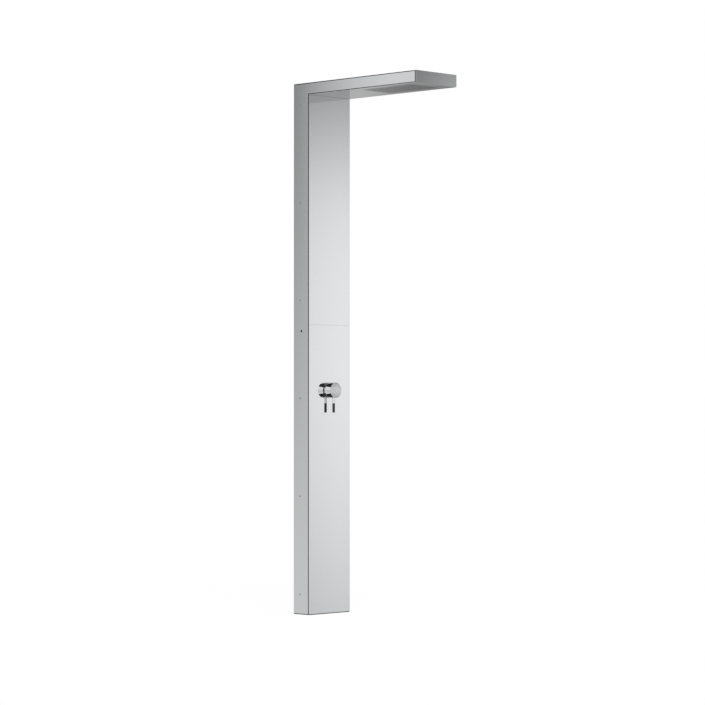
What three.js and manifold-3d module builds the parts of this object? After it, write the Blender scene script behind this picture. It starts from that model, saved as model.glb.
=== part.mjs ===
// Rainfall shower column: a stainless casing shaped like an upside-down L, fixed to a wall and
// standing on the floor. It holds one progressive mixer, a riser pipe and a wide spray head
// under the arm.
// Millimetres, +Z up. The origin is the middle of the column's foot, on the floor. The wall is
// at +Y, the arm reaches to -Y, and +X is to the right of a person facing the column.
import * as THREE from 'three';
import { mergeVertices } from 'three/addons/utils/BufferGeometryUtils.js';
import Module from 'manifold-3d';

const wasm = await Module();
wasm.setup();

// ---- Driving dimensions -------------------------------------------------------------------------

const columnHeight = 2200;
const columnWidth = 240;
const columnDepth = 90;
const armReach = 605;          // from the column's front face to the arm's end
const armThickness = 50;
const cheekSheet = 2;          // side plates, set in between the edges of the other sheets
const casingSheet = 1.5;       // every other casing sheet
const uprightJoint = 4.5;      // joint between a side plate and the sheets along its upright edges
const levelJoint = 2.6;        // the same along its level edges
const footGasket = 3;
const returnInset = 6;         // from the sides of the column to the folds inside it
const fitGap = 0.3;            // between two pieces that touch
const panelSeam = 1198;        // height of the joint between the two front panels

const mixerHeight = 927;
const knobRadius = 32;
const knobFront = 36.5;        // from the front panel to the knob's front face
const leverAxisOffset = 24;    // from the front panel to the lever's axis
const leverEnd = 92.5;         // from the mixer's axis to the lever's tip
const gripStart = 54;          // from the mixer's axis to the start of the grip

const nozzleColumns = 12;      // across the arm
const nozzleRows = 16;         // along the arm
const nozzlePitchX = 13.8;
const nozzlePitchY = 17.2;
const nozzleDrop = 2.2;          // how far the nozzles stand out below the arm
const fieldCentreOffset = 410; // from the column's front face to the middle of the nozzle field

const screwCount = 6;          // on each side
const lowestScrew = 83;
const highestScrew = 2110;
const screwFromWall = 37;
const plugHeight = 1172;

const inletSpacing = 150;      // standard spacing of two wall outlets
const inletHeight = 700;
const riserRadius = 8;

// ---- Derived places -----------------------------------------------------------------------------

const wallY = columnDepth / 2;
const frontY = -columnDepth / 2;
const tipY = frontY - armReach;
const halfWidth = columnWidth / 2;
const soffitZ = columnHeight - armThickness;
const returnOuter = halfWidth - returnInset;
const returnInner = returnOuter - casingSheet;
const casingBase = footGasket + fitGap;
const uprightInset = casingSheet + uprightJoint;
const levelInset = casingSheet + levelJoint;
const fieldY = frontY - fieldCentreOffset;
const fieldWidth = (nozzleColumns - 1) * nozzlePitchX;
const fieldLength = (nozzleRows - 1) * nozzlePitchY;
const pipeY = -6;              // riser, mixer ports and hose starts lie in this plane
const feedZ = soffitZ + 20;
const screwY = wallY - screwFromWall;

const brushedSteel = { color: 0xb9bbbc, roughness: 0.28, metalness: 1 };
const chrome = { color: 0xd8dadc, roughness: 0.06, metalness: 1 };
const brass = { color: 0xb08d4a, roughness: 0.35, metalness: 1 };
const zincSteel = { color: 0xa3a6a8, roughness: 0.45, metalness: 1 };
const blackRubber = { color: 0x222325, roughness: 0.8, metalness: 0 };
const greySilicone = { color: 0x3c3e40, roughness: 0.7, metalness: 0 };
const whitePlastic = { color: 0xd9d9d4, roughness: 0.5, metalness: 0 };

// ---- Solids -------------------------------------------------------------------------------------

// Turns a closed geometry into a manifold solid with its faces pointing out.
function solidOf(geometry) {
  geometry.deleteAttribute('normal');
  geometry.deleteAttribute('uv');
  const merged = mergeVertices(geometry, 1e-4);
  const places = merged.attributes.position;
  const corner = [0, 1, 2].map(() => new THREE.Vector3());
  const triangles = [];
  let volume = 0;
  for (let i = 0; i < merged.index.count; i += 3) {
    const triangle = [0, 1, 2].map((k) => merged.index.getX(i + k));
    if (new Set(triangle).size < 3) continue;
    triangles.push(triangle);
    triangle.forEach((vertex, k) => corner[k].fromBufferAttribute(places, vertex));
    volume += corner[0].dot(corner[1].cross(corner[2]));
  }
  const triVerts = triangles.map(([a, b, c]) => (volume > 0 ? [a, b, c] : [a, c, b])).flat();
  const mesh = { numProp: 3, vertProperties: places.array, triVerts: new Uint32Array(triVerts) };
  return new wasm.Manifold(new wasm.Mesh(mesh));
}

function join(first, ...others) {
  return others.reduce((total, other) => total.add(other), first);
}

function cut(base, ...tools) {
  return tools.reduce((rest, tool) => rest.subtract(tool), base);
}

// A block between two corners.
function block(low, high) {
  const size = high.map((value, i) => value - low[i]);
  const middle = high.map((value, i) => (value + low[i]) / 2);
  return solidOf(new THREE.BoxGeometry(...size).translate(...middle));
}

// Turns a shape drawn about the Y axis so that its axis lies along X, Y or Z.
const axisTurns = {
  x: new THREE.Matrix4().makeRotationZ(-Math.PI / 2),
  y: new THREE.Matrix4(),
  z: new THREE.Matrix4().makeRotationX(Math.PI / 2),
};

// A turned piece: profile holds [radius, place along the axis] pairs and closes on itself or on the axis.
function turned(profile, sides, axis, middle) {
  const points = profile.map(([radius, along]) => new THREE.Vector2(radius, along));
  if (profile[0][0] > 0) points.push(points[0].clone());
  const geometry = new THREE.LatheGeometry(points, sides);
  geometry.rotateY(Math.PI / sides);
  geometry.applyMatrix4(axisTurns[axis]);
  return solidOf(geometry.translate(...middle));
}

// A round bar between two places on an axis.
function rod(radius, from, to, sides, axis, middle) {
  return turned([[0, from], [radius, from], [radius, to], [0, to]], sides, axis, middle);
}

// A round tube between two places on an axis.
function tube(outer, inner, from, to, sides, axis, middle) {
  return turned([[inner, from], [outer, from], [outer, to], [inner, to]], sides, axis, middle);
}

// A hexagonal nut with a round bore.
function hexNut(outer, bore, from, to, axis, middle) {
  return cut(rod(outer, from, to, 6, axis, middle), rod(bore, from - 5, to + 5, 12, axis, middle));
}

// Two mirrored blocks, one on each side of the column, between two corners of the right-hand one.
function pair(low, high) {
  return [block(low, high), block([-high[0], low[1], low[2]], [-low[0], high[1], high[2]])];
}

// A folded sheet: an outline in one plane, drawn out along the third axis.
function folded(outline, axis, from, to) {
  const shape = new THREE.Shape(outline.map(([u, v]) => new THREE.Vector2(u, v)));
  const geometry = new THREE.ExtrudeGeometry(shape, { depth: to - from, bevelEnabled: false });
  geometry.translate(0, 0, from);
  const frames = {
    x: new THREE.Matrix4().set(0, 0, 1, 0, 1, 0, 0, 0, 0, 1, 0, 0, 0, 0, 0, 1),   // u, v are Y, Z
    y: new THREE.Matrix4().set(1, 0, 0, 0, 0, 0, 1, 0, 0, 1, 0, 0, 0, 0, 0, 1),   // u, v are X, Z
    z: new THREE.Matrix4(),                                                     // u, v are X, Y
  };
  return solidOf(geometry.applyMatrix4(frames[axis]));
}

// The outline of a channel: a web with two returns, symmetric about u = 0.
function channel(half, webOuter, webInner, returnEnd) {
  const inner = half - Math.abs(webInner - webOuter);
  return [
    [-half, webOuter], [half, webOuter], [half, returnEnd], [inner, returnEnd],
    [inner, webInner], [-inner, webInner], [-inner, returnEnd], [-half, returnEnd],
  ];
}

const column = new THREE.Group();

function addPart(name, solid, finish) {
  const mesh = solid.getMesh();
  const geometry = new THREE.BufferGeometry();
  geometry.setAttribute('position', new THREE.BufferAttribute(mesh.vertProperties, 3));
  geometry.setIndex(new THREE.BufferAttribute(mesh.triVerts, 1));
  const part = new THREE.Mesh(geometry, new THREE.MeshStandardMaterial(finish));
  part.name = name;
  column.add(part);
}

// ---- Side screws and the plug: shared by the side plates and the wall frame ---------------------

const screwHeights = Array.from({ length: screwCount }, (_, i) =>
  lowestScrew + (i * (highestScrew - lowestScrew)) / (screwCount - 1));
const screwHead = 4;
const screwShank = 2;
const screwInner = halfWidth - 10;

// A countersunk screw that enters from the side; grow makes the hole that it needs.
function sideScrew(side, height, grow) {
  const profile = [
    [0, screwInner - grow], [screwShank + grow, screwInner - grow],
    [screwShank + grow, halfWidth - 2 + grow / 2], [screwHead + grow, halfWidth - 0.3 + grow / 2],
    [screwHead + grow, halfWidth + grow], [0, halfWidth + grow],
  ];
  const turnedProfile = profile.map(([radius, along]) => [radius, along * side]);
  return turned(turnedProfile, 8, 'x', [0, screwY, height]);
}

const plugHead = 4.5;
const plugShank = 3.4;

function addSideScrews() {
  for (const [side, label] of [[-1, 'left'], [1, 'right']]) {
    screwHeights.forEach((height, i) => {
      addPart(`${label}_side_screw_${i + 1}`, sideScrew(side, height, 0), zincSteel);
    });
  }
}

function addAccessPlug() {
  const profile = [
    [0, halfWidth - 7], [plugShank, halfWidth - 7], [plugShank, halfWidth + fitGap],
    [plugHead, halfWidth + fitGap], [plugHead, halfWidth + 1], [0, halfWidth + 1],
  ];
  const plug = turned(profile.map(([radius, along]) => [radius, -along]), 12, 'x', [0, 0, plugHeight]);
  addPart('access_plug', plug, blackRubber);
}

// ---- Casing -------------------------------------------------------------------------------------

// The outline of the L, seen from the side, set in from the casing's upright and level edges.
function insetPath(upright, level) {
  const [front, tip] = [frontY + upright, tipY + upright];
  const [low, high] = [soffitZ + level, columnHeight - level];
  return [[front, casingBase], [front, low], [tip, low], [tip, high], [wallY, high]];
}

function addCheeks() {
  const outline = [...insetPath(uprightInset, levelInset), [wallY, casingBase]];
  for (const [side, name] of [[-1, 'left_cheek'], [1, 'right_cheek']]) {
    const faces = [side * (halfWidth - cheekSheet), side * halfWidth].sort((a, b) => a - b);
    let cheek = folded(outline, 'x', ...faces);
    for (const height of screwHeights) cheek = cut(cheek, sideScrew(side, height, fitGap));
    if (side < 0) cheek = cut(cheek, rod(plugShank + fitGap, -140, -100, 12, 'x', [0, 0, plugHeight]));
    addPart(name, cheek, brushedSteel);
  }
}

// A black profile fills the joint round each side plate, a little below the surface.
function addJointSeals() {
  const outer = insetPath(casingSheet + fitGap, casingSheet + fitGap);
  const inner = insetPath(uprightInset - fitGap, levelInset - fitGap);
  const outline = [...outer, ...inner.reverse()];
  for (const [side, label] of [[-1, 'left'], [1, 'right']]) {
    const faces = [side * (halfWidth - cheekSheet), side * (halfWidth - 0.5)].sort((a, b) => a - b);
    addPart(`${label}_joint_seal`, folded(outline, 'x', ...faces), blackRubber);
  }
}

// Every other sheet runs the full width; its returns are folds inside the casing.
function frontPanel(low, high) {
  const inside = frontY + casingSheet;
  const web = block([-halfWidth, frontY, low], [halfWidth, inside, high]);
  const returnLow = [returnInner, inside - casingSheet / 2, low + 15];
  return join(web, ...pair(returnLow, [returnOuter, inside + 28, high]));
}

function addFrontPanels() {
  const mixerHole = rod(25, frontY - 5, frontY + 10, 24, 'y', [0, 0, mixerHeight]);
  addPart('front_panel_lower', cut(frontPanel(casingBase, panelSeam - fitGap / 2), mixerHole), brushedSteel);
  addPart('front_panel_upper', frontPanel(panelSeam + fitGap / 2, soffitZ - fitGap), brushedSteel);
}

const windowHalfX = fieldWidth / 2 + 12.5;
const windowHalfY = fieldLength / 2 + 12.5;
const armEnd = tipY + casingSheet + fitGap;

function addArmSheets() {
  const soffitTop = soffitZ + casingSheet;
  const soffitRear = frontY + casingSheet;
  const underside = join(
    block([-halfWidth, armEnd, soffitZ], [halfWidth, soffitRear, soffitTop]),
    ...pair([returnInner, armEnd, soffitTop - casingSheet / 2], [returnOuter, soffitRear, soffitZ + 12]),
  );
  const windowLow = [-windowHalfX, fieldY - windowHalfY, soffitZ - 5];
  const window = block(windowLow, [windowHalfX, fieldY + windowHalfY, soffitZ + 5]);
  addPart('arm_soffit', cut(underside, window), brushedSteel);

  const topInside = columnHeight - casingSheet;
  const top = join(
    block([-halfWidth, armEnd, topInside], [halfWidth, wallY, columnHeight]),
    ...pair([returnInner, armEnd, topInside - 10], [returnOuter, wallY - 5, topInside + casingSheet / 2]),
  );
  addPart('top_cover', top, brushedSteel);

  const cap = block([-halfWidth, tipY, soffitZ], [halfWidth, tipY + casingSheet, columnHeight]);
  addPart('arm_front_cap', cap, brushedSteel);
}

function addBottomCap() {
  const half = halfWidth - cheekSheet - 0.4;
  const top = casingBase + casingSheet;
  const plate = block([-half, frontY + casingSheet + fitGap, casingBase], [half, wallY, top]);
  const upstands = pair([returnInner, -12, top - casingSheet / 2], [returnOuter, wallY - 3, 13]);
  addPart('bottom_cap', join(plate, ...upstands), brushedSteel);
  addPart('foot_gasket', block([1 - halfWidth, frontY + 1, 0], [halfWidth - 1, wallY, footGasket]), blackRubber);
}

// ---- Wall frame: a channel fixed to the wall, which the casing is screwed to from both sides ----

const frameHalf = halfWidth - cheekSheet - 0.4;
const webInside = wallY - 2;
const fixingHeights = [150, 2050];
const fixingX = 85;

function addWallFrame() {
  const section = channel(frameHalf, wallY, webInside, -6);
  let frame = folded(section, 'z', 16, columnHeight - casingSheet - fitGap);
  for (const height of screwHeights) {
    frame = cut(frame, sideScrew(-1, height, fitGap), sideScrew(1, height, fitGap));
  }
  frame = cut(frame, rod(plugShank + 1, -140, -100, 12, 'x', [0, 0, plugHeight]));
  for (const side of [-1, 1]) {
    frame = cut(frame, rod(13, wallY - 9, wallY + 5, 16, 'y', [side * inletSpacing / 2, 0, inletHeight]));
    for (const height of fixingHeights) {
      const slot = [-6, 0, 6].map((x) =>
        rod(4.5, wallY - 9, wallY + 5, 8, 'y', [side * fixingX + x, 0, height]));
      frame = cut(frame, join(...slot));
    }
  }
  addPart('wall_frame', frame, zincSteel);
}

// ---- Mixer: places along Y are measured from the front panel's face, outwards negative ----------

const noseRadius = 20.5;
const cartridgeRadius = 17.5;
const noseFront = frontY - 10.5;
const cartridgeSeat = frontY + 19.5;
const rosetteRadius = 28;
const knobBack = frontY - 7.5;
const knobFace = frontY - knobFront;
const leverY = frontY - leverAxisOffset;
const portReach = 40;

function addMixerBody() {
  const here = [0, 0, mixerHeight];
  const ports = [0, pipeY, mixerHeight];
  const barrel = rod(24, frontY + casingSheet + 2, 16, 24, 'y', here);
  const nose = rod(noseRadius, noseFront, 0, 24, 'y', here);
  const sidePorts = rod(10, -portReach, portReach, 12, 'x', ports);
  const upPort = rod(10, 0, 44, 12, 'z', ports);
  const boreSeat = rod(cartridgeRadius + fitGap, noseFront - 5, cartridgeSeat, 24, 'y', here);
  const waterways = [
    rod(6, -portReach - 5, -8, 8, 'x', ports), rod(6, 8, portReach + 5, 8, 'x', ports),
    rod(6, 8, 50, 8, 'z', ports),
    rod(3.5, cartridgeSeat - 2, pipeY + 2, 8, 'y', [-10, 0, mixerHeight]),
    rod(3.5, cartridgeSeat - 2, pipeY + 2, 8, 'y', [10, 0, mixerHeight]),
    rod(3.5, cartridgeSeat - 2, pipeY + 2, 8, 'y', [0, 0, mixerHeight + 11]),
  ];
  const boltHoles = [-14, 14].map((x) => rod(2.9, 2, 20, 8, 'y', [x, 0, mixerHeight]));
  const body = cut(join(barrel, nose, sidePorts, upPort), boreSeat, ...waterways, ...boltHoles);
  addPart('mixer_body', body, brass);
}

function addMixerFittings() {
  const here = [0, 0, mixerHeight];
  const rosette = tube(rosetteRadius, noseRadius + 0.6, frontY - 4.3, frontY - fitGap, 32, 'y', here);
  addPart('mixer_rosette', rosette, chrome);

  const cartridgeFront = noseFront + 0.5;
  const cartridge = turned([
    [0, cartridgeSeat - fitGap], [cartridgeRadius, cartridgeSeat - fitGap], [cartridgeRadius, cartridgeFront],
    [5.6, cartridgeFront], [5.6, cartridgeFront + 12], [0, cartridgeFront + 12],
  ], 24, 'y', here);
  addPart('mixer_cartridge', cartridge, whitePlastic);

  const nut = tube(noseRadius, 9, noseFront - 4.3, noseFront - fitGap, 24, 'y', here);
  addPart('cartridge_nut', nut, brass);

  const hat = [
    [-60, webInside - fitGap], [-60, webInside - 2.3], [-44, webInside - 2.3], [-44, 16.3], [44, 16.3],
    [44, webInside - 2.3], [60, webInside - 2.3], [60, webInside - fitGap], [42, webInside - fitGap],
    [42, 18.3], [-42, 18.3], [-42, webInside - fitGap],
  ];
  const bracket = folded(hat, 'z', mixerHeight - 25, mixerHeight + 25);
  const boltHoles = [-14, 14].map((x) => rod(2.9, 10, 25, 8, 'y', [x, 0, mixerHeight]));
  addPart('mixer_bracket', cut(bracket, ...boltHoles), zincSteel);

  for (const [side, label] of [[-1, 'left'], [1, 'right']]) {
    const bolt = turned([[0, 5], [2.5, 5], [2.5, 18.6], [5, 18.6], [5, 22.6], [0, 22.6]], 6, 'y',
      [side * 14, 0, mixerHeight]);
    addPart(`mixer_bolt_${label}`, bolt, zincSteel);
  }
}

function addMixerHandle() {
  const here = [0, 0, mixerHeight];
  const recess = knobFace + 1.8;
  const rimInner = knobRadius - 1;
  const cavityFront = frontY - 18;
  const hubBore = 5.4;
  const shell = turned([
    [hubBore, recess], [rimInner, recess], [rimInner, knobFace], [knobRadius, knobFace], [knobRadius, knobBack],
    [24, knobBack], [24, cavityFront], [hubBore, cavityFront],
  ], 36, 'y', here);
  const lever = [0, leverY, mixerHeight];
  const leverSocket = rod(5.6, -knobRadius - 5, -26.5, 12, 'z', lever);
  const screwHole = rod(2.9, -30, -4, 8, 'z', lever);
  addPart('mixer_knob', cut(shell, leverSocket, screwHole), chrome);

  addPart('knob_face_disc', rod(rimInner - fitGap, knobFace, recess - fitGap, 36, 'y', here), brushedSteel);
  addPart('cartridge_spindle', rod(5, noseFront + 12, recess + fitGap, 12, 'y', here), brass);
  addPart('knob_set_screw', rod(2.5, -14, -5.3, 8, 'z', lever), zincSteel);

  const stem = turned([
    [0, -84], [3.4, -84], [3.4, -gripStart], [5.2, -gripStart], [5.2, -27], [0, -27],
  ], 12, 'z', lever);
  addPart('lever_stem', stem, chrome);
  const grip = turned([
    [0, -leverEnd], [5.4, -leverEnd], [5.4, -gripStart - fitGap], [3.8, -gripStart - fitGap],
    [3.8, -84.5], [0, -84.5],
  ], 12, 'z', lever);
  addPart('lever_grip', grip, chrome);
}

// ---- Water supply: two wall inlets, hoses, non-return valves and the riser ----------------------

const inletY = 20;

function addSupply() {
  for (const [side, label] of [[-1, 'hot'], [1, 'cold']]) {
    const x = side * inletSpacing / 2;
    const tee = join(
      rod(11, inletY - 11, wallY - fitGap, 12, 'y', [x, 0, inletHeight]),
      rod(16, webInside - 3.3, webInside - fitGap, 12, 'y', [x, 0, inletHeight]),
      rod(9, 0, 22, 12, 'z', [x, inletY, inletHeight]),
    );
    const bores = [
      rod(6, inletY, wallY + 5, 8, 'y', [x, 0, inletHeight]),
      rod(6, 0, 27, 8, 'z', [x, inletY, inletHeight]),
    ];
    addPart(`${label}_inlet_elbow`, cut(tee, ...bores), brass);
    addPart(`${label}_hose_nut`, hexNut(12, 7, 22.3, 36, 'z', [x, inletY, inletHeight]), brass);

    const valvePlace = [0, pipeY, mixerHeight];
    const valve = tube(9, 4.5, side * (portReach + fitGap), side * (portReach + 18), 12, 'x', valvePlace);
    addPart(`${label}_check_valve`, valve, whitePlastic);

    const route = new THREE.CatmullRomCurve3([
      [portReach + 18.6, pipeY, mixerHeight], [68, pipeY, mixerHeight], [84, pipeY, mixerHeight - 6],
      [97, pipeY, mixerHeight - 34],
      [95, pipeY + 8, mixerHeight - 90], [75, inletY, inletHeight + 90], [75, inletY, inletHeight + 36.3],
    ].map(([u, y, z]) => new THREE.Vector3(side * u, y, z)));
    const section = new THREE.Shape().absarc(0, 0, 6.5, 0, 2 * Math.PI);
    const hose = new THREE.ExtrudeGeometry(section, { steps: 16, extrudePath: route, curveSegments: 5 });
    addPart(`${label}_hose`, solidOf(hose), zincSteel);
  }
}

const elbowRadius = 20;
const riserStart = mixerHeight + 44.3;
const riserEnd = feedZ - elbowRadius - 12;
const chamberHalfX = windowHalfX + 10;
const chamberHalfY = windowHalfY + 10;
const chamberRear = fieldY + chamberHalfY;

function addRiser() {
  addPart('riser_nut', hexNut(14, riserRadius + 0.6, 44.3, 60, 'z', [0, pipeY, mixerHeight]), brass);
  addPart('riser_pipe', tube(riserRadius, 6.6, riserStart, riserEnd, 12, 'z', [0, pipeY, 0]), brass);

  for (const [label, height] of [['lower', 1330], ['upper', 1930]]) {
    const ring = rod(11.5, 0, 14, 16, 'z', [0, pipeY, height]);
    const stem = block([-4, pipeY + 9, height], [4, webInside - 1.5, height + 14]);
    const base = block([-16, webInside - 2.5, height], [16, webInside - fitGap, height + 14]);
    const bore = rod(riserRadius + 0.4, -5, 20, 16, 'z', [0, pipeY, height]);
    addPart(`riser_clip_${label}`, cut(join(ring, stem, base), bore), whitePlastic);
  }

  // The elbow turns the riser forwards into the arm; sockets at both ends hold the pipes.
  const bend = new THREE.CatmullRomCurve3(Array.from({ length: 9 }, (_, i) => {
    const angle = (i / 8) * (Math.PI / 2);
    const y = pipeY - elbowRadius + elbowRadius * Math.cos(angle);
    const z = feedZ - elbowRadius + elbowRadius * Math.sin(angle);
    return new THREE.Vector3(0, y, z);
  }));
  const ringSection = new THREE.Shape().absarc(0, 0, riserRadius, 0, 2 * Math.PI);
  ringSection.holes.push(new THREE.Path().absarc(0, 0, 6.2, 0, 2 * Math.PI));
  const arcOptions = { steps: 5, extrudePath: bend, curveSegments: 6 };
  const arc = solidOf(new THREE.ExtrudeGeometry(ringSection, arcOptions));
  const lowSocket = tube(11, riserRadius + 0.4, -14, -0.5, 12, 'z', [0, pipeY, feedZ - elbowRadius]);
  const lowRing = tube(11, 6.2, -1.5, 1, 12, 'z', [0, pipeY, feedZ - elbowRadius]);
  const farSocket = tube(11, riserRadius + 0.4, -13.5, 0.5, 12, 'y', [0, pipeY - elbowRadius, feedZ]);
  const farRing = tube(11, 6.2, -1.5, 1.5, 12, 'y', [0, pipeY - elbowRadius, feedZ]);
  addPart('head_elbow', join(arc, lowSocket, lowRing, farSocket, farRing), brass);

  const feedStart = pipeY - elbowRadius - 2;
  addPart('feed_pipe', tube(riserRadius, 6.6, chamberRear - 8, feedStart, 12, 'y', [0, 0, feedZ]), brass);
  const nut = hexNut(14, riserRadius + 0.6, chamberRear + fitGap, chamberRear + 12, 'y', [0, 0, feedZ]);
  addPart('feed_nut', nut, brass);
}

// ---- Spray head: plate, nozzle mat, gasket and water chamber ------------------------------------

const holeRadius = 3;
const nozzleRoot = 2.6;
const nozzleTip = 1.7;

function rectangle(halfX, halfY) {
  const [near, far] = [fieldY - halfY, fieldY + halfY];
  return [[-halfX, near], [halfX, near], [halfX, far], [-halfX, far]];
}

const nozzlePlaces = [];
for (let row = 0; row < nozzleRows; row += 1) {
  for (let line = 0; line < nozzleColumns; line += 1) {
    nozzlePlaces.push([line * nozzlePitchX - fieldWidth / 2, fieldY + row * nozzlePitchY - fieldLength / 2]);
  }
}

function addSprayFace() {
  const border = rectangle(windowHalfX - 0.4, windowHalfY - 0.4);
  const shape = new THREE.Shape(border.map((p) => new THREE.Vector2(...p)));
  for (const [x, y] of nozzlePlaces) {
    const corners = [[1, 0], [0, 1], [-1, 0], [0, -1]];
    const hole = corners.map(([u, v]) => new THREE.Vector2(x + u * holeRadius, y + v * holeRadius));
    shape.holes.push(new THREE.Path(hole));
  }
  const plate = new THREE.ExtrudeGeometry(shape, { depth: casingSheet, bevelEnabled: false });
  addPart('spray_plate', solidOf(plate.translate(0, 0, soffitZ)), brushedSteel);

  // The nozzles are square here; each stands in a hole of the plate with clearance all round.
  const matLow = soffitZ + casingSheet + fitGap;
  const cones = nozzlePlaces.map(([x, y]) => {
    const length = matLow - soffitZ + nozzleDrop + 0.5;
    const cone = new THREE.CylinderGeometry(nozzleRoot, nozzleTip, length, 4);
    return solidOf(cone.rotateX(Math.PI / 2).translate(x, y, soffitZ - nozzleDrop + length / 2));
  });
  const mat = folded(rectangle(windowHalfX + 3, windowHalfY + 3), 'z', matLow, matLow + 2);
  addPart('nozzle_mat', join(mat, ...cones), greySilicone);
}

const gasketLow = soffitZ + casingSheet + fitGap + 2 + fitGap;
const chamberLow = gasketLow + 1.5 + fitGap;
const chamberTop = soffitZ + 33;

function addChamber() {
  const ring = folded(rectangle(windowHalfX + 3, windowHalfY + 3), 'z', gasketLow, gasketLow + 1.5);
  const opening = folded(rectangle(windowHalfX - 3, windowHalfY - 3), 'z', gasketLow - 5, gasketLow + 5);
  addPart('head_gasket', cut(ring, opening), blackRubber);

  const shell = folded(rectangle(chamberHalfX, chamberHalfY), 'z', chamberLow, chamberTop);
  const inside = folded(rectangle(windowHalfX - 2, windowHalfY - 2), 'z', chamberLow - 5, chamberTop - 3);
  const inlet = rod(riserRadius + 0.4, chamberRear - 25, chamberRear + 5, 12, 'y', [0, 0, feedZ]);
  addPart('water_chamber', cut(shell, inside, inlet), whitePlastic);

  const footLow = soffitZ + casingSheet + fitGap;
  const legOut = chamberHalfX + 2.5;
  const legIn = chamberHalfX + 0.5;
  const foot = returnInner - 1;
  const strapTop = chamberTop + fitGap;
  const strapOutline = [
    [-foot, footLow], [-legIn, footLow], [-legIn, strapTop],
    [legIn, strapTop], [legIn, footLow], [foot, footLow],
    [foot, footLow + 2], [legOut, footLow + 2], [legOut, strapTop + 2], [-legOut, strapTop + 2],
    [-legOut, footLow + 2], [-foot, footLow + 2],
  ];
  for (const [label, offset] of [['front', -90], ['rear', 90]]) {
    const strap = folded(strapOutline, 'y', fieldY + offset - 12, fieldY + offset + 12);
    addPart(`chamber_strap_${label}`, strap, zincSteel);
  }
}

// ---- Assembly -----------------------------------------------------------------------------------

addCheeks();
addJointSeals();
addFrontPanels();
addArmSheets();
addBottomCap();
addSideScrews();
addAccessPlug();
addWallFrame();
addMixerBody();
addMixerFittings();
addMixerHandle();
addSupply();
addRiser();
addSprayFace();
addChamber();

export default column;
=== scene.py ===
import math

import bmesh
import bpy
from mathutils import Matrix, Vector


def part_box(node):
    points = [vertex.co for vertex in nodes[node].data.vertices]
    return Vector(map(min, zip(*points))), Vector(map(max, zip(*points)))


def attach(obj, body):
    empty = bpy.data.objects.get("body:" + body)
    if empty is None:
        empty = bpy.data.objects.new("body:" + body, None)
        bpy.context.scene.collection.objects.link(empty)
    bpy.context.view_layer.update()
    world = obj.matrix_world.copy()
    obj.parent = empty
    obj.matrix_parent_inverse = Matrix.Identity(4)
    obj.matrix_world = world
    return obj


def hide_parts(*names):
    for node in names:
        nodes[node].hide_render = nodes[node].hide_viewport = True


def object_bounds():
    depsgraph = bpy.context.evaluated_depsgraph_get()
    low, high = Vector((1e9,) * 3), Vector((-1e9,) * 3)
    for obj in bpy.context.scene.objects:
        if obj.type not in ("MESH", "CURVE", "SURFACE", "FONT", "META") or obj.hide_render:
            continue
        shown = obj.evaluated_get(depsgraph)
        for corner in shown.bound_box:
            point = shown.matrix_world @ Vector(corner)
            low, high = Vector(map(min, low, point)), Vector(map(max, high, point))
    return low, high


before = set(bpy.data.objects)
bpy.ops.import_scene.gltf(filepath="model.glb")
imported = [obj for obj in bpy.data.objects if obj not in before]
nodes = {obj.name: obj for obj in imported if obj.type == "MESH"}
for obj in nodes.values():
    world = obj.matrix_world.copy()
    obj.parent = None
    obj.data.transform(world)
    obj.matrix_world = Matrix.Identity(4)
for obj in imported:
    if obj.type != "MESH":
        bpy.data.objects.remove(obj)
cadLow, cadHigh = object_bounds()
mm = 0.001
print("frame loaded:", len(nodes), "nodes")


# Places read from the frame

def middleOf(node):
    low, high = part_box(node)
    return (low + high) / 2


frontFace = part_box("front_panel_lower")[0].y
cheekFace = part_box("left_cheek")[0].x
spindleZ = middleOf("mixer_knob").z


# Colour and node helpers

def linearColour(hexText):
    channels = [int(hexText[i:i + 2], 16) / 255 for i in (0, 2, 4)]
    return [c / 12.92 if c <= 0.04045 else ((c + 0.055) / 1.055) ** 2.4 for c in channels] + [1.0]


def addNode(tree, kind, inputs=None, **properties):
    # inputs maps each socket to a value, or to the output of another node
    node = tree.nodes.new(kind)
    for name, value in properties.items():
        setattr(node, name, value)
    for socket, value in (inputs or {}).items():
        if isinstance(value, bpy.types.NodeSocket):
            tree.links.new(value, node.inputs[socket])
        else:
            node.inputs[socket].default_value = value
    return node


def newMaterial(name, settings):
    material = bpy.data.materials.new(name)
    material.use_nodes = True
    tree = material.node_tree
    tree.nodes.clear()
    shader = addNode(tree, "ShaderNodeBsdfPrincipled", settings)
    addNode(tree, "ShaderNodeOutputMaterial", {"Surface": shader.outputs["BSDF"]})
    return material, tree, shader


def marks(tree, size, detail=3.0):
    # irregular marks; size is their real length in millimetres along X, Y and Z
    place = addNode(tree, "ShaderNodeTexCoord").outputs["Object"]
    scaled = addNode(tree, "ShaderNodeMapping", {"Vector": place, "Scale": [1000 / s for s in size]})
    return addNode(tree, "ShaderNodeTexNoise", {"Vector": scaled.outputs["Vector"], "Scale": 1.0,
                                                "Detail": detail, "Roughness": 0.55}).outputs["Fac"]


def showPattern(tree, shader, pattern, tones, roughness, relief=None):
    # tones and roughness go from the pattern's low parts to its high parts; relief is (strength, depth in mm)
    ramp = addNode(tree, "ShaderNodeValToRGB", {"Fac": pattern})
    for element, place, tone in zip(ramp.color_ramp.elements, (0.3, 0.7), tones):
        element.position = place
        element.color = linearColour(tone)
    gloss = addNode(tree, "ShaderNodeMapRange", {"Value": pattern, "From Min": 0.3, "From Max": 0.7,
                                                 "To Min": roughness[0], "To Max": roughness[1]})
    tree.links.new(ramp.outputs["Color"], shader.inputs["Base Color"])
    tree.links.new(gloss.outputs["Result"], shader.inputs["Roughness"])
    if relief:
        bump = addNode(tree, "ShaderNodeBump", {"Height": pattern, "Strength": relief[0],
                                                "Distance": relief[1] * mm})
        tree.links.new(bump.outputs["Normal"], shader.inputs["Normal"])


# Materials

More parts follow.
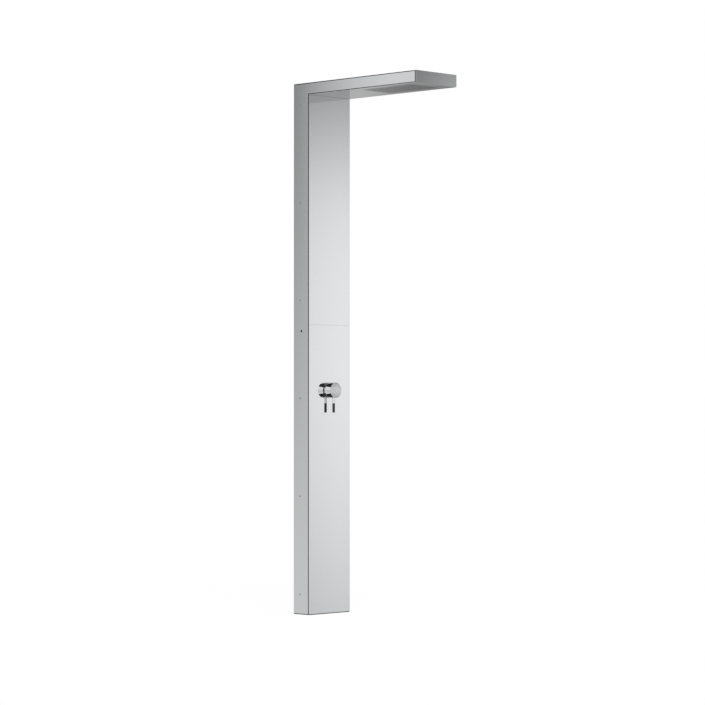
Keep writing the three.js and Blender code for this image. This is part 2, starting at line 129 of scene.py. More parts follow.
brushing = {"hairWidth": 0.6, "hairLength": 90, "roughness": (0.055, 0.075), "relief": (0.015, 0.02)}


def brushedStainless(name, along):
    # 304 stainless sheet, belt-brushed very fine: nearly a mirror, with straight hairlines along one axis;
    # the hairs are drawn 0.6 mm wide, wider than real ones, so that they show up close
    material, tree, shader = newMaterial(name, {"Metallic": 1.0})
    size = [brushing["hairWidth"]] * 3
    size["XYZ".index(along)] = brushing["hairLength"]
    hairs = marks(tree, size)
    showPattern(tree, shader, hairs, ("DBDDDE", "DFE1E2"), brushing["roughness"], brushing["relief"])
    return material


def spunStainless(name):
    # 304 stainless disc, faced on a lathe: fine circles round its middle give a satin grey
    material, tree, shader = newMaterial(name, {"Metallic": 1.0})
    place = addNode(tree, "ShaderNodeTexCoord").outputs["Object"]
    centred = addNode(tree, "ShaderNodeVectorMath", {0: place, 1: (0, 0, spindleZ)}, operation="SUBTRACT")
    flat = addNode(tree, "ShaderNodeVectorMath", {0: centred.outputs["Vector"], 1: (1, 0, 1)},
                   operation="MULTIPLY")
    radius = addNode(tree, "ShaderNodeVectorMath", {0: flat.outputs["Vector"]}, operation="LENGTH")
    rings = addNode(tree, "ShaderNodeTexNoise", {"W": radius.outputs["Value"], "Scale": 1 / (0.35 * mm),
                                                 "Detail": 2.0}, noise_dimensions="1D")
    showPattern(tree, shader, rings.outputs["Fac"], ("DDDFE0", "E3E5E6"), (0.22, 0.3), (0.08, 0.02))
    return material


def polishedChrome(name):
    # chrome plate over polished brass: a true mirror with a faint haze from wiping
    material, tree, shader = newMaterial(name, {"Metallic": 1.0})
    showPattern(tree, shader, marks(tree, [3, 3, 3], 4.0), ("E4E6E8", "E8EAEC"), (0.03, 0.06))
    return material


def blackAnodised(name):
    # anodised aluminium sleeve, black: satin, with a slightly lighter bloom where it is handled
    material, tree, shader = newMaterial(name, {"Metallic": 0.85})
    showPattern(tree, shader, marks(tree, [4, 4, 9]), ("3E4042", "4A4C4E"), (0.3, 0.4))
    return material


def castBrass(name):
    # machined brass casting: warm yellow, dull skin with fine tool marks
    material, tree, shader = newMaterial(name, {"Metallic": 1.0})
    showPattern(tree, shader, marks(tree, [5, 5, 5], 5.0), ("A98B4B", "C8AA66"), (0.25, 0.42), (0.15, 0.08))
    return material


def galvanisedSteel(name):
    # hot-dipped steel sheet: cool grey with zinc spangles about 12 mm across
    material, tree, shader = newMaterial(name, {"Metallic": 1.0})
    place = addNode(tree, "ShaderNodeTexCoord").outputs["Object"]
    spangle = addNode(tree, "ShaderNodeTexVoronoi", {"Vector": place, "Scale": 1 / (12 * mm)})
    grey = addNode(tree, "ShaderNodeRGBToBW", {"Color": spangle.outputs["Color"]})
    showPattern(tree, shader, grey.outputs["Val"], ("9DA2A5", "B4B8BA"), (0.32, 0.5), (0.05, 0.03))
    return material


def screwSteel(name):
    # A2 stainless screw: turned and tumbled, a little darker than the sheet round it
    material, tree, shader = newMaterial(name, {"Metallic": 1.0})
    showPattern(tree, shader, marks(tree, [0.8, 0.8, 0.8], 4.0), ("A5A7A9", "B6B8BA"), (0.22, 0.34))
    return material


def braidedSteel(name):
    # stainless wire braid over rubber: crossing strands about 1.6 mm wide
    material, tree, shader = newMaterial(name, {"Metallic": 1.0})
    place = addNode(tree, "ShaderNodeTexCoord").outputs["Object"]
    strands = []
    for slant in (1, -1):
        lean = (0, slant * math.radians(40), 0)
        leaning = addNode(tree, "ShaderNodeMapping", {"Vector": place, "Rotation": lean})
        wave = addNode(tree, "ShaderNodeTexWave", {"Vector": leaning.outputs["Vector"],
                                                   "Scale": 1 / (6.3 * 1.6 * mm), "Distortion": 0.4})
        strands.append(wave.outputs["Fac"])
    crossing = addNode(tree, "ShaderNodeMath", {0: strands[0], 1: strands[1]}, operation="MAXIMUM")
    showPattern(tree, shader, crossing.outputs["Value"], ("55585A", "B9BCBE"), (0.5, 0.25), (0.6, 0.4))
    return material


def siliconeRubber(name):
    # moulded silicone, dark grey: soft sheen and a fine moulded grain
    material, tree, shader = newMaterial(name, {"Specular IOR Level": 0.4})
    showPattern(tree, shader, marks(tree, [1.2, 1.2, 1.2]), ("26282A", "2F3133"), (0.5, 0.62), (0.1, 0.04))
    return material


def blackRubber(name):
    # moulded EPDM rubber: matt near-black with a faint bloom
    material, tree, shader = newMaterial(name, {"Specular IOR Level": 0.3})
    showPattern(tree, shader, marks(tree, [2, 2, 2], 4.0), ("161718", "202122"), (0.6, 0.8), (0.2, 0.05))
    return material


def whiteAcetal(name):
    # moulded acetal: off-white, waxy, very slightly mottled by its flow
    material, tree, shader = newMaterial(name, {"IOR": 1.48})
    showPattern(tree, shader, marks(tree, [18, 18, 30], 2.0), ("DBDBD5", "E6E6E1"), (0.38, 0.48))
    return material


sheetUpright = brushedStainless("brushedStainlessUpright", "Z")
sheetForward = brushedStainless("brushedStainlessForward", "Y")
sheetAcross = brushedStainless("brushedStainlessAcross", "X")
spunFace = spunStainless("spunStainless")
chrome = polishedChrome("polishedChrome")
anodised = blackAnodised("blackAnodised")
brass = castBrass("castBrass")
zincSheet = galvanisedSteel("galvanisedSteel")
screwMetal = screwSteel("tumbledStainless")
braid = braidedSteel("wireBraid")
silicone = siliconeRubber("darkSilicone")
rubber = blackRubber("blackRubber")
acetal = whiteAcetal("whiteAcetal")
print("materials made")


# Mesh helpers

def finishMesh(name, mesh, material, body, replaced):
    piece = bpy.data.objects.new(name, mesh)
    bpy.context.scene.collection.objects.link(piece)
    mesh.materials.append(material)
    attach(piece, body)
    if replaced:
        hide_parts(*replaced)
    return piece


def shadeByAngle(mesh, degrees=32):
    limit = math.radians(degrees)
    work = bmesh.new()
    work.from_mesh(mesh)
    bmesh.ops.recalc_face_normals(work, faces=work.faces)
    for face in work.faces:
        face.smooth = True
    for edge in work.edges:
        edge.smooth = len(edge.link_faces) == 2 and edge.calc_face_angle(0) < limit
    work.to_mesh(mesh)
    work.free()


axisTurn = {
    "X": Matrix(((0, 0, 1), (1, 0, 0), (0, 1, 0))).to_4x4(),
    "Y": Matrix(((0, 1, 0), (0, 0, 1), (1, 0, 0))).to_4x4(),
    "Z": Matrix.Identity(4),
}


def ringPoint(radius, angle, kind):
    # kind hex makes a ring with six flats; radius is then half the distance across flats
    if kind == "hex":
        sixth = math.pi / 3
        radius = radius / math.cos((angle % sixth) - sixth / 2)
    return radius * math.cos(angle), radius * math.sin(angle)


def turnedMesh(name, profile, axis, centre, sides=48):
    # profile: (radius, place along the axis in metres, optional "hex");
    # it ends on the axis, or closes on itself
    rings = []
    vertices = []
    for radius, along, *kind in profile:
        if radius == 0:
            rings.append([len(vertices)])
            vertices.append((0, 0, along))
            continue
        rings.append(list(range(len(vertices), len(vertices) + sides)))
        for i in range(sides):
            x, y = ringPoint(radius, 2 * math.pi * i / sides, kind[0] if kind else "round")
            vertices.append((x, y, along))
    pairs = list(zip(rings, rings[1:]))
    if len(rings[0]) > 1:
        pairs.append((rings[-1], rings[0]))
    faces = []
    for first, second in pairs:
        for i in range(sides):
            j = (i + 1) % sides
            corners = [first[i % len(first)], first[j % len(first)],
                       second[j % len(second)], second[i % len(second)]]
            faces.append(list(dict.fromkeys(corners)))
    mesh = bpy.data.meshes.new(name)
    mesh.from_pydata(vertices, [], faces)
    mesh.transform(Matrix.Translation(centre) @ axisTurn[axis])
    shadeByAngle(mesh)
    return mesh


def turnedPiece(name, profile, axis, centre, material, body, replaced, sides=48):
    mesh = turnedMesh(name, profile, axis, centre, sides)
    return finishMesh(name, mesh, material, body, replaced)


def softened(points, radius, steps=3):
    # rounds the corners of a profile: each inner point becomes a short arc of that radius
    result = [points[0]]
    for before, point, after in zip(points, points[1:], points[2:]):
        corner = Vector(point[:2])
        toBefore = Vector(before[:2]) - corner
        toAfter = Vector(after[:2]) - corner
        reach = min(radius, toBefore.length * 0.45, toAfter.length * 0.45)
        start = corner + toBefore.normalized() * reach
        end = corner + toAfter.normalized() * reach
        for k in range(steps + 1):
            t = k / steps
            place = start * (1 - t) ** 2 + corner * 2 * t * (1 - t) + end * t ** 2
            result.append((place.x, place.y) + tuple(point[2:]))
    return result + [points[-1]]


# Sheets and other nodes that keep their CAD shape

edges = {"panel": 0.12, "sheet": 0.3, "cheek": 0.4, "inside": 0.4, "segments": 2}


def keepNode(node, material, edgeWidth):
    piece = nodes[node]
    piece.data.materials.clear()
    piece.data.materials.append(material)
    weld = piece.modifiers.new("weld", "WELD")
    weld.merge_threshold = 0.01 * mm
    flatten = piece.modifiers.new("flatten", "DECIMATE")
    flatten.decimate_type = "DISSOLVE"
    flatten.angle_limit = math.radians(0.5)
    bevel = piece.modifiers.new("edges", "BEVEL")
    bevel.width = edgeWidth * mm
    bevel.segments = edges["segments"]
    bevel.limit_method = "ANGLE"
    bevel.angle_limit = math.radians(35)
    bevel.harden_normals = True


for node in ("left_cheek", "right_cheek"):
    keepNode(node, sheetUpright, edges["cheek"])
for node in ("front_panel_lower", "front_panel_upper"):
    keepNode(node, sheetUpright, edges["panel"])
for node in ("arm_soffit", "top_cover"):
    keepNode(node, sheetForward, edges["sheet"])
for node in ("arm_front_cap", "bottom_cap"):
    keepNode(node, sheetAcross, edges["sheet"])
for node in ("wall_frame", "mixer_bracket", "chamber_strap_front", "chamber_strap_rear"):
    keepNode(node, zincSheet, edges["inside"])
for node in ("mixer_body", "cartridge_spindle", "hot_inlet_elbow", "cold_inlet_elbow", "head_elbow"):
    keepNode(node, brass, edges["inside"])
for node in ("mixer_cartridge", "water_chamber", "riser_clip_lower", "riser_clip_upper"):
    keepNode(node, acetal, edges["inside"])
for node in ("head_gasket", "left_joint_seal", "right_joint_seal", "foot_gasket"):
    keepNode(node, rubber, edges["inside"])
keepNode("knob_set_screw", screwMetal, 0.2)
for node in ("mixer_bolt_left", "mixer_bolt_right"):
    keepNode(node, screwMetal, 0.3)
print("sheets and castings finished")


# Side screws: countersunk, hexagon socket

screw = {"headRadius": 4.0, "socket": 1.25, "socketDepth": 1.6, "shank": 2.0, "sink": 0.15}


def makeSideScrew(side, label, number):
    node = f"{label}_side_screw_{number}"
    low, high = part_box(node)
    face = (high.x if side > 0 else low.x) - side * screw["sink"] * mm
    tail = low.x if side > 0 else high.x
    head = screw["headRadius"] * mm
    shank = screw["shank"] * mm
    socket = screw["socket"] * mm
    bottom = face - side * screw["socketDepth"] * mm
    profile = [
        (0, bottom), (socket, bottom, "hex"), (socket, face, "hex"), (socket + 0.25 * mm, face),
        (head - 0.3 * mm, face), (head, face - side * 0.3 * mm), (shank, face - side * 2.1 * mm),
        (shank, tail + side * 0.5 * mm), (shank - 0.5 * mm, tail), (0, tail),
    ]
    centre = Vector((0, middleOf(node).y, middleOf(node).z))
    name = f"screw_{label}_{number}"
    turnedPiece(name, profile, "X", centre, screwMetal, "column", [node], 24)


for side, label in ((-1, "left"), (1, "right")):
    for number in range(1, 7):
        makeSideScrew(side, label, number)


# Access plug: a domed rubber button in a hole of the left side

def makePlug():
    low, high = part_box("access_plug")
    centre = Vector((0, middleOf("access_plug").y, middleOf("access_plug").z))
    head = 4.5 * mm
    face = low.x
    profile = [(0, face), (head * 0.5, face + 0.08 * mm), (head * 0.85, face + 0.3 * mm),
               (head, face + 0.7 * mm), (head, cheekFace - 0.05 * mm), (3.4 * mm, cheekFace - 0.05 * mm),
               (3.4 * mm, high.x - 1 * mm), (2.6 * mm, high.x), (0, high.x)]
    turnedPiece("plug_button", profile, "X", centre, rubber, "column", ["access_plug"], 32)


makePlug()
print("screws and plug finished")


# Mixer: rosette, knob with its face disc, and the lever

mixer = {"radius": 32, "rimInner": 31, "discRadius": 30.7, "rosetteRadius": 28, "edge": 0.5,
         "discEdge": 0.25, "leverRadius": 5.2, "gripRibPitch": 2.4, "gripRibDepth": 0.25}


def makeRosette():
    low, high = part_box("mixer_rosette")
    outer, inner = mixer["rosetteRadius"] * mm, 21.2 * mm
    profile = softened([(inner, high.y), (outer, high.y), (outer, low.y), (inner, low.y)], 0.8 * mm)
    turnedPiece("rosette_ring", profile, "Y", Vector((0, 0, spindleZ)), chrome, "column",
                ["mixer_rosette"], 96)


def makeKnob():
    low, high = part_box("mixer_knob")
    face, back = low.y, high.y
    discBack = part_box("knob_face_disc")[1].y
    outer, recess = mixer["radius"] * mm, mixer["rimInner"] * mm
    cavity = frontFace - 18 * mm
    hub = 5.4 * mm
    floorOfRecess = discBack + 0.3 * mm
    rim = softened([(recess, floorOfRecess), (recess, face), (outer, face), (outer, back), (24 * mm, back)],
                   mixer["edge"] * mm, 4)
    profile = [(hub, floorOfRecess)] + rim + [(24 * mm, cavity), (hub, cavity)]
    axis = Vector((0, 0, spindleZ))
    turnedPiece("knob_shell", profile, "Y", axis, chrome, "mixer_handle", ["mixer_knob"], 128)
    discRadius = mixer["discRadius"] * mm
    disc = [(0, face)] + softened([(0, face), (discRadius, face), (discRadius, discBack), (0, discBack)],
                                  mixer["discEdge"] * mm)[1:]
    turnedPiece("knob_disc", disc, "Y", axis, spunFace, "mixer_handle",
                ["knob_face_disc"], 128)


def makeLever():
    stemLow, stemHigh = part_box("lever_stem")
    gripLow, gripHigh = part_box("lever_grip")
    centre = Vector((0, middleOf("lever_stem").y, 0))
    radius = mixer["leverRadius"] * mm
    collar = gripHigh.z + 0.3 * mm
    stem = [(0, stemLow.z), (3.4 * mm, stemLow.z), (3.4 * mm, collar), (radius - 0.4 * mm, collar),
            (radius, collar + 0.4 * mm), (radius, stemHigh.z), (0, stemHigh.z)]
    turnedPiece("lever_bar", stem, "Z", centre, chrome, "mixer_handle", ["lever_stem"], 48)
    outer = (gripHigh.x - gripLow.x) / 2 + 0.15 * mm
    bore = 3.8 * mm
    tip = gripLow.z
    profile = [(0, tip), (outer - 1.2 * mm, tip), (outer - 0.4 * mm, tip + 0.35 * mm),
               (outer, tip + 1.2 * mm)]
    pitch = mixer["gripRibPitch"] * mm
    depth = mixer["gripRibDepth"] * mm
    ribs = int((gripHigh.z - tip - 5 * mm) / pitch)
    for i in range(ribs):
        z = tip + 2.6 * mm + i * pitch
        profile += [(outer, z), (outer - depth, z + 0.25 * pitch), (outer, z + 0.5 * pitch)]
    profile += [(outer, gripHigh.z - 0.4 * mm), (outer - 0.4 * mm, gripHigh.z), (bore, gripHigh.z),
                (bore, stemLow.z - 0.5 * mm), (0, stemLow.z - 0.5 * mm)]
    turnedPiece("lever_sleeve", profile, "Z", centre, anodised, "mixer_handle",
                ["lever_grip"], 48)


makeRosette()
makeKnob()
makeLever()
print("mixer finished")


# Pipes, nuts, valves and hoses

def makeTube(name, node, axis, outer, inner, material):
    low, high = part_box(node)
    index = "XYZ".index(axis)
    centre = middleOf(node)
    centre[index] = 0
    start, end = low[index], high[index]
    profile = [(inner, start), (outer - 0.3 * mm, start), (outer, start + 0.3 * mm), (outer, end - 0.3 * mm),
               (outer - 0.3 * mm, end), (inner, end)]
    turnedPiece(name, profile, axis, centre, material, "column", [node], 32)


def makeHexNut(name, node, axis, flats, bore):
    low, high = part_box(node)
    index = "XYZ".index(axis)
    centre = middleOf(node)
    centre[index] = 0
    start, end = low[index], high[index]
    rim = 0.8 * mm
    profile = [(bore, start), (flats - rim / 2, start), (flats, start + rim, "hex"),
               (flats, end - rim, "hex"), (flats - rim / 2, end), (bore, end)]
    turnedPiece(name, profile, axis, centre, brass, "column", [node], 36)


makeTube("riser_tube", "riser_pipe", "Z", 8 * mm, 6.6 * mm, brass)
makeTube("feed_tube", "feed_pipe", "Y", 8 * mm, 6.6 * mm, brass)
makeTube("cartridge_ring", "cartridge_nut", "Y", 20.5 * mm, 9 * mm, brass)
for label in ("hot", "cold"):
    makeTube(f"{label}_valve_tube", f"{label}_check_valve", "X", 9 * mm, 4.5 * mm, acetal)
    makeHexNut(f"{label}_union_nut", f"{label}_hose_nut", "Z", 10.4 * mm, 7 * mm)
makeHexNut("riser_union_nut", "riser_nut", "Z", 12.1 * mm, 8.6 * mm)
makeHexNut("feed_union_nut", "feed_nut", "Y", 12.1 * mm, 8.6 * mm)
for label in ("hot", "cold"):
    keepNode(f"{label}_hose", braid, 0.2)
print("water supply finished")


# Spray face: a steel plate with round holes, and a silicone mat whose nozzles stand through them

spray = {"columns": 12, "rows": 16, "pitchX": 13.8, "pitchY": 17.2, "hole": 2.1, "root": 1.7, "neck": 1.5,
         "tip": 1.2, "orifice": 0.4, "edgePoints": 6}


def nozzleCentres():
    middle = middleOf("spray_plate")
    firstX = middle.x - (spray["columns"] - 1) / 2 * spray["pitchX"] * mm
    firstY = middle.y - (spray["rows"] - 1) / 2 * spray["pitchY"] * mm
    xs = [firstX + i * spray["pitchX"] * mm for i in range(spray["columns"])]
    ys = [firstY + i * spray["pitchY"] * mm for i in range(spray["rows"])]
    return xs, ys


def cellLines(places, low, high):
    return [low] + [(a + b) / 2 for a, b in zip(places, places[1:])] + [high]


def borderPoints(x0, x1, y0, y1, count):
    corners = [(x1, y0), (x1, y1), (x0, y1), (x0, y0)]
    points = []
    for (ax, ay), (bx, by) in zip(corners, corners[1:] + corners[:1]):
        points += [(ax + (bx - ax) * k / count, ay + (by - ay) * k / count) for k in range(count)]
    return points


def makeSprayPlate():
    low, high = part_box("spray_plate")
    xs, ys = nozzleCentres()
    linesX = cellLines(xs, low.x, high.x)
    linesY = cellLines(ys, low.y, high.y)
    count = spray["edgePoints"]
    total = 4 * count
    lip = 0.25 * mm
    work = bmesh.new()
    for i, x in enumerate(xs):
        for j, y in enumerate(ys):
            border = borderPoints(linesX[i], linesX[i + 1], linesY[j], linesY[j + 1], count)
            angles = [math.atan2(-1, 1) + 2 * math.pi * k / total for k in range(total)]
            wide = (spray["hole"] + 0.25) * mm
            narrow = spray["hole"] * mm
            loops = [
                [(px, py, low.z) for px, py in border],
                [(x + wide * math.cos(a), y + wide * math.sin(a), low.z) for a in angles],
                [(x + narrow * math.cos(a), y + narrow * math.sin(a), low.z + lip) for a in angles],
                [(x + narrow * math.cos(a), y + narrow * math.sin(a), high.z) for a in angles],
                [(px, py, high.z) for px, py in border],
            ]
            rings = [[work.verts.new(p) for p in loop] for loop in loops]
            for first, second in zip(rings, rings[1:]):
                for k in range(total):
                    m = (k + 1) % total
                    work.faces.new((first[k], first[m], second[m], second[k]))
    bmesh.ops.remove_doubles(work, verts=work.verts, dist=0.005 * mm)
    rimEdges = [e for e in work.edges if e.is_boundary]
    bmesh.ops.bridge_loops(work, edges=rimEdges)
    mesh = bpy.data.meshes.new("spray_face")
    work.to_mesh(mesh)
    work.free()
    shadeByAngle(mesh)
    finishMesh("spray_face", mesh, sheetForward, "column", ["spray_plate"])


def makeNozzleMat():
    low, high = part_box("nozzle_mat")
    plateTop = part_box("spray_plate")[1].z
    matLow = plateTop + 0.3 * mm
    sides = 16
    xs, ys = nozzleCentres()
    profile = [
        (spray["root"] * mm, matLow + 0.5 * mm), (spray["root"] * mm, matLow - 0.2 * mm),
        (spray["neck"] * mm, plateTop - 1.6 * mm), (spray["tip"] * mm, low.z + 0.35 * mm),
        ((spray["tip"] - 0.35) * mm, low.z), (spray["orifice"] * mm, low.z),
        (spray["orifice"] * mm, low.z + 1.2 * mm), (0, low.z + 1.2 * mm),
    ]
    vertices, faces = [], []
    for x in xs:
        for y in ys:
            base = len(vertices)
            for radius, z in profile[:-1]:
                for k in range(sides):
                    angle = 2 * math.pi * k / sides
                    vertices.append((x + radius * math.cos(angle), y + radius * math.sin(angle), z))
            vertices.append((x, y, profile[-1][1]))
            for ring in range(len(profile) - 2):
                for k in range(sides):
                    m = (k + 1) % sides
                    a = base + ring * sides
                    b = a + sides
                    faces.append((a + k, a + m, b + m, b + k))
            last = base + (len(profile) - 2) * sides
            end = base + (len(profile) - 1) * sides
            faces += [(last + k, last + (k + 1) % sides, end) for k in range(sides)]
            faces.append([base + k for k in range(sides)][::-1])
    sheet = [(low.x, low.y), (high.x, low.y), (high.x, high.y), (low.x, high.y)]
    base = len(vertices)
    vertices += [(px, py, matLow) for px, py in sheet] + [(px, py, high.z) for px, py in sheet]
    faces += [(base + 3, base + 2, base + 1, base), (base + 4, base + 5, base + 6, base + 7)]
    faces += [(base + k, base + (k + 1) % 4, base + 4 + (k + 1) % 4, base + 4 + k) for k in range(4)]
    mesh = bpy.data.meshes.new("nozzle_field")
    mesh.from_pydata(vertices, [], faces)
    shadeByAngle(mesh, 40)
    finishMesh("nozzle_field", mesh, silicone, "column", ["nozzle_mat"])


makeSprayPlate()
makeNozzleMat()
print("spray face finished")


# Studio: pale floor, surroundings for the metal to mirror, and soft lights

studio = {"floorRadius": 9.0, "floorGlow": 0.94, "keyPower": 260, "fillPower": 90}


def makeFloor():
    # a white floor that nearly glows, so only a trace of shadow stays round the foot
    mesh = bpy.data.meshes.new("floor")
    work = bmesh.new()
    bmesh.ops.create_circle(work, cap_ends=True, segments=96, radius=studio["floorRadius"])
    work.to_mesh(mesh)
    work.free()
    floor = bpy.data.objects.new("floor", mesh)
    floor.location = (0, 0, cadLow.z - 0.5 * mm)
    bpy.context.scene.collection.objects.link(floor)
    settings = {"Base Color": linearColour("F4F4F3"), "Roughness": 0.9, "Specular IOR Level": 0.0}
    material, tree, shader = newMaterial("paleFloor", settings)
    place = addNode(tree, "ShaderNodeTexCoord").outputs["Object"]
    away = addNode(tree, "ShaderNodeVectorMath", {0: place}, operation="LENGTH")
    share = addNode(tree, "ShaderNodeMapRange", {"Value": away.outputs["Value"], "From Min": 0.2,
                                                 "From Max": 2.5, "To Min": studio["floorGlow"],
                                                 "To Max": 1.0})
    glow = addNode(tree, "ShaderNodeEmission", {"Color": (1, 1, 1, 1), "Strength": 1.0})
    mixed = addNode(tree, "ShaderNodeMixShader", {0: share.outputs["Result"], 1: shader.outputs["BSDF"],
                                                  2: glow.outputs["Emission"]})
    output = next(n for n in tree.nodes if n.type == "OUTPUT_MATERIAL")
    tree.links.new(mixed.outputs["Shader"], output.inputs["Surface"])
    mesh.materials.append(material)
    floor.visible_glossy = False


def brightness(tree, source, stops):
    # a curve of brightness: stops are (place, brightness), in rising order of place
    low, high, top = stops[0][0], stops[-1][0], 1.25
    span = addNode(tree, "ShaderNodeMapRange", {"Value": source, "From Min": low, "From Max": high})
    ramp = addNode(tree, "ShaderNodeValToRGB", {"Fac": span.outputs["Result"]})
    while len(ramp.color_ramp.elements) < len(stops):
        ramp.color_ramp.elements.new(1.0)
    for element, (place, bright) in zip(ramp.color_ramp.elements, stops):
        element.position = (place - low) / (high - low)
        element.color = (bright / top, bright / top, bright / top, 1)
    scaled = addNode(tree, "ShaderNodeMath", {0: ramp.outputs["Color"], 1: top}, operation="MULTIPLY")
    return scaled.outputs["Value"]


# What the metal mirrors. Places are heights of a direction (z of a unit vector), or sideways positions.
surroundings = {
    # to the front right, mirrored by the front panels, from low to high
    "rightByHeight": [
        (-0.86, 0.9), (-0.8, 0.02), (-0.57, 0.02), (-0.53, 0.95), (-0.3, 0.6), (-0.15, 0.42), (-0.117, 0.4),
        (-0.08, 0.79), (-0.045, 0.93), (-0.02, 1.0), (0.012, 1.05), (0.05, 1.02), (0.065, 0.98), (0.08, 0.89),
        (0.1, 0.66), (0.12, 0.42), (0.135, 0.3), (0.18, 0.36), (0.35, 0.7), (0.53, 0.95), (0.57, 0.02),
        (0.8, 0.02), (0.86, 0.9)],
    "rightAcross": [
        (-0.06, 0.85), (-0.006, 0.92), (0.001, 1.0), (0.008, 1.14), (0.02, 0.84), (0.03, 0.5),
        (0.034, 0.56), (0.048, 1.16), (0.06, 1.2), (0.12, 1.0), (0.22, 0.75), (0.35, 0.4),
        (0.6, 0.35), (0.9, 0.6)],
    # to the back left, mirrored by the left side: darker behind the wall's edge and high up
    "leftAcross": [
        (-0.06, 0.75), (-0.032, 0.83), (-0.026, 0.9), (-0.013, 0.77), (0.002, 0.56), (0.012, 0.3),
        (0.018, 0.12), (0.03, 0.06)],
    "leftByHeight": [
        (-0.86, 0.9), (-0.8, 0.02), (-0.57, 0.02), (-0.53, 0.95), (-0.3, 0.8), (-0.12, 1.0), (0.15, 1.0),
        (0.53, 0.9), (0.57, 0.02), (0.8, 0.02), (0.86, 0.9)],
    # low down the left side is evenly bright; that level takes over between these two heights
    "leftLow": 0.728,
    "leftFade": (0.126, -0.065),
    # to the front left: wide and bright with soft steps, and dark bands above and below for the chrome
    "near": [
        (-0.86, 0.9), (-0.8, 0.02), (-0.57, 0.02), (-0.53, 1.1), (-0.43, 1.1), (-0.34, 0.82),
        (-0.2, 0.93), (-0.09, 0.84), (0.0, 0.88), (0.08, 0.96), (0.2, 1.15), (0.53, 1.15), (0.57, 0.02),
        (0.8, 0.02), (0.86, 0.9)],
    # behind the wall's side, mirrored by the underside and the top of the arm
    "farByHeight": [
        (-0.8, 0.8), (-0.5, 0.6), (-0.2, 0.48), (-0.1, 0.48), (0.0, 0.6), (0.2, 0.7), (0.6, 0.8), (0.8, 0.9)],
    "farAcross": [
        (-0.3, 1.0), (0.012, 1.0), (0.016, 0.96), (0.024, 0.78), (0.032, 0.64), (0.042, 0.52),
        (0.06, 0.45), (0.3, 1.0)],
}


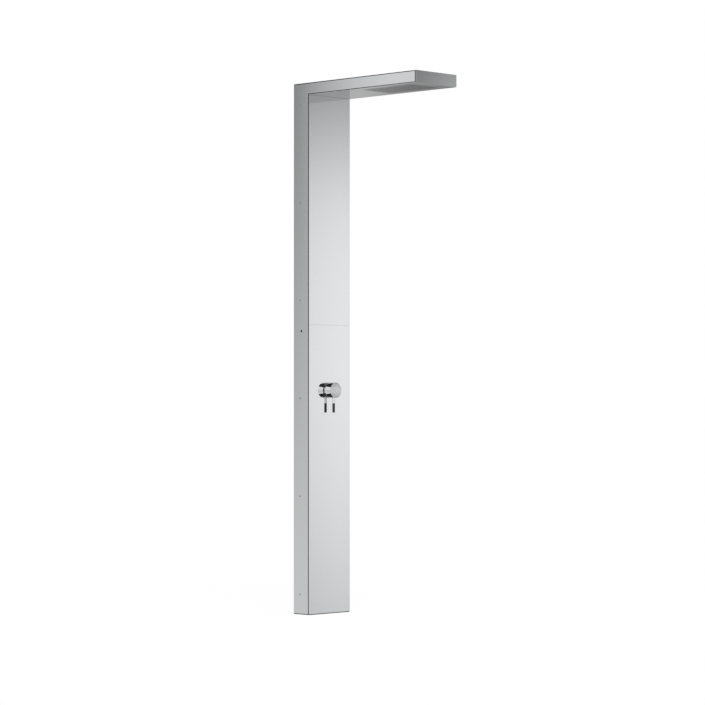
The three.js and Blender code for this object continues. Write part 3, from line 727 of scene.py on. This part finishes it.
def makeSurroundings():
    world = bpy.data.worlds.new("studio")
    bpy.context.scene.world = world
    world.use_nodes = True
    tree = world.node_tree
    tree.nodes.clear()
    way = addNode(tree, "ShaderNodeTexCoord").outputs["Generated"]
    half = math.sqrt(0.5)
    z = addNode(tree, "ShaderNodeSeparateXYZ", {"Vector": way}).outputs["Z"]
    right = addNode(tree, "ShaderNodeVectorMath", {0: way, 1: (half, -half, 0)}, operation="DOT_PRODUCT")
    behind = addNode(tree, "ShaderNodeVectorMath", {0: way, 1: (half, half, 0)}, operation="DOT_PRODUCT")
    right, behind = right.outputs["Value"], behind.outputs["Value"]

    rightBand = addNode(tree, "ShaderNodeMath", {0: brightness(tree, z, surroundings["rightByHeight"]),
                                                 1: brightness(tree, behind, surroundings["rightAcross"])},
                        operation="MULTIPLY").outputs["Value"]
    fadeStart, fadeEnd = surroundings["leftFade"]
    lift = addNode(tree, "ShaderNodeMapRange", {"Value": z, "From Min": fadeStart, "From Max": fadeEnd})
    lift = lift.outputs["Result"]
    across = brightness(tree, behind, surroundings["leftAcross"])
    leftBand = addNode(tree, "ShaderNodeMix", {0: lift, 2: across, 3: surroundings["leftLow"]}).outputs[0]
    leftHeights = brightness(tree, z, surroundings["leftByHeight"])
    leftBand = addNode(tree, "ShaderNodeMath", {0: leftBand, 1: leftHeights}, operation="MULTIPLY")
    leftBand = leftBand.outputs["Value"]

    farBand = addNode(tree, "ShaderNodeMath", {0: brightness(tree, z, surroundings["farByHeight"]),
                                               1: brightness(tree, right, surroundings["farAcross"])},
                      operation="MULTIPLY").outputs["Value"]
    share = addNode(tree, "ShaderNodeMapRange", {"Value": behind, "From Min": -0.3, "From Max": 0.3})
    bright = addNode(tree, "ShaderNodeMix", {0: share.outputs["Result"],
                                             2: brightness(tree, z, surroundings["near"]),
                                             3: farBand}).outputs[0]
    for band, start, end in ((rightBand, 0.45, 0.85), (leftBand, -0.45, -0.85)):
        share = addNode(tree, "ShaderNodeMapRange", {"Value": right, "From Min": start, "From Max": end},
                        interpolation_type="SMOOTHSTEP")
        bright = addNode(tree, "ShaderNodeMix", {0: share.outputs["Result"], 2: bright, 3: band}).outputs[0]
    seen = addNode(tree, "ShaderNodeLightPath").outputs["Is Camera Ray"]
    bright = addNode(tree, "ShaderNodeMix", {0: seen, 2: bright, 3: 1.0}).outputs[0]   # a white backdrop
    glow = addNode(tree, "ShaderNodeBackground", {"Color": (1, 1, 1, 1), "Strength": bright})
    addNode(tree, "ShaderNodeOutputWorld", {"Surface": glow.outputs["Background"]})


def makeSoftLight(name, place, aim, power, size):
    light = bpy.data.lights.new(name, "AREA")
    light.energy = power
    light.shape = "RECTANGLE"
    light.size, light.size_y = size
    lamp = bpy.data.objects.new(name, light)
    lamp.location = place
    lamp.rotation_mode = "QUATERNION"
    lamp.rotation_quaternion = (Vector(aim) - Vector(place)).to_track_quat("-Z", "Y")
    lamp.visible_glossy = False
    bpy.context.scene.collection.objects.link(lamp)


view = {"yaw": 45.525, "pitch": 1.041, "lens": 135.24, "fromCorner": (-7.6761, -7.7882, 0.8841)}


def makeCamera():
    # aimed along a line 45.5 degrees from the wall's normal, a little upwards, from the left of the column
    camera = bpy.data.objects.new("camera", bpy.data.cameras.new("camera"))
    yaw, pitch = math.radians(view["yaw"]), math.radians(view["pitch"])
    forward = Vector((math.sin(yaw) * math.cos(pitch), math.cos(yaw) * math.cos(pitch), math.sin(pitch)))
    camera.data.sensor_width = 36
    camera.data.lens = view["lens"]
    camera.data.clip_end = 200
    camera.location = Vector((cheekFace, frontFace, 0)) + Vector(view["fromCorner"])
    camera.rotation_mode = "QUATERNION"
    camera.rotation_quaternion = forward.to_track_quat("-Z", "Y")
    bpy.context.scene.collection.objects.link(camera)
    bpy.context.scene.camera = camera


makeFloor()
makeSurroundings()
makeSoftLight("key", (-3, -3.5, 5), (0, 0, 1), studio["keyPower"], (3, 3))
makeSoftLight("fill", (4, -2, 3.5), (0, 0, 1), studio["fillPower"], (2.5, 2.5))
makeCamera()
bpy.context.scene.view_settings.view_transform = "Standard"
print("studio finished")
